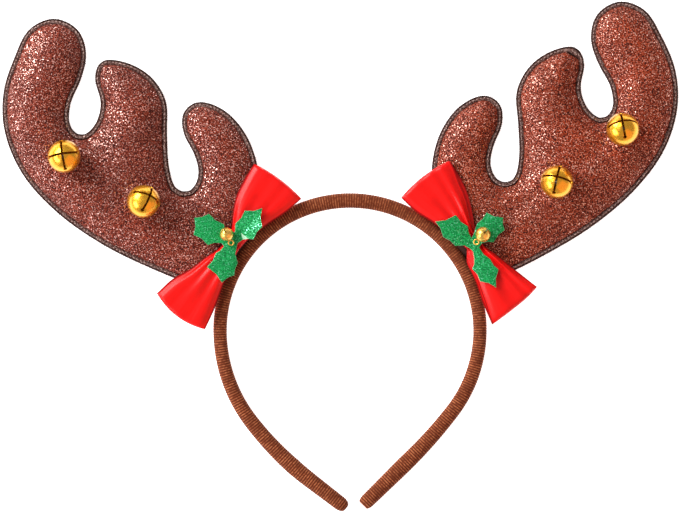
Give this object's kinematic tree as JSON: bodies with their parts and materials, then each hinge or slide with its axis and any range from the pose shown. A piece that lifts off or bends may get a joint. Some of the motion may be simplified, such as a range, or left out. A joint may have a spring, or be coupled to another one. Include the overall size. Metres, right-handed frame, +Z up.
{
  "type": "reindeer antler headband",
  "caption": "Costume headband with padded glitter antlers, jingle bells, satin ribbon bows and holly sprigs, lying flat with its front up.",
  "frame": {"origin": "on the resting face, under the middle of the band's crown", "axes": "+X across the headband to the right as seen from the front, +Y towards the top of the head, +Z up, out of the front that faces the viewer"},
  "size_m": [0.3384, 0.2551, 0.0296],
  "materials": {
    "band_cover": "ribbed knitted cover, matte",
    "glitter_cloth": "cloth faced with fine reddish-brown glitter",
    "bell_gilt": "polished gold plate",
    "pellet_steel": "plain steel",
    "ribbon_satin": "red satin, soft sheen",
    "holly_card": "foam card faced with green glitter",
    "small_bell_gilt": "polished pale gold plate"
  },
  "bodies": {
    "root": {"headband": "band_cover", "antler_left": "glitter_cloth", "bell_left_upper": "bell_gilt", "pellet_left_upper": "pellet_steel", "bell_left_lower": "bell_gilt", "pellet_left_lower": "pellet_steel", "bow_left": "ribbon_satin", "holly_left": "holly_card", "small_bell_left": "small_bell_gilt", "antler_right": "glitter_cloth", "bell_right_upper": "bell_gilt", "pellet_right_upper": "pellet_steel", "bell_right_lower": "bell_gilt", "pellet_right_lower": "pellet_steel", "bow_right": "ribbon_satin", "holly_right": "holly_card", "small_bell_right": "small_bell_gilt"}
  },
  "joints": []
}
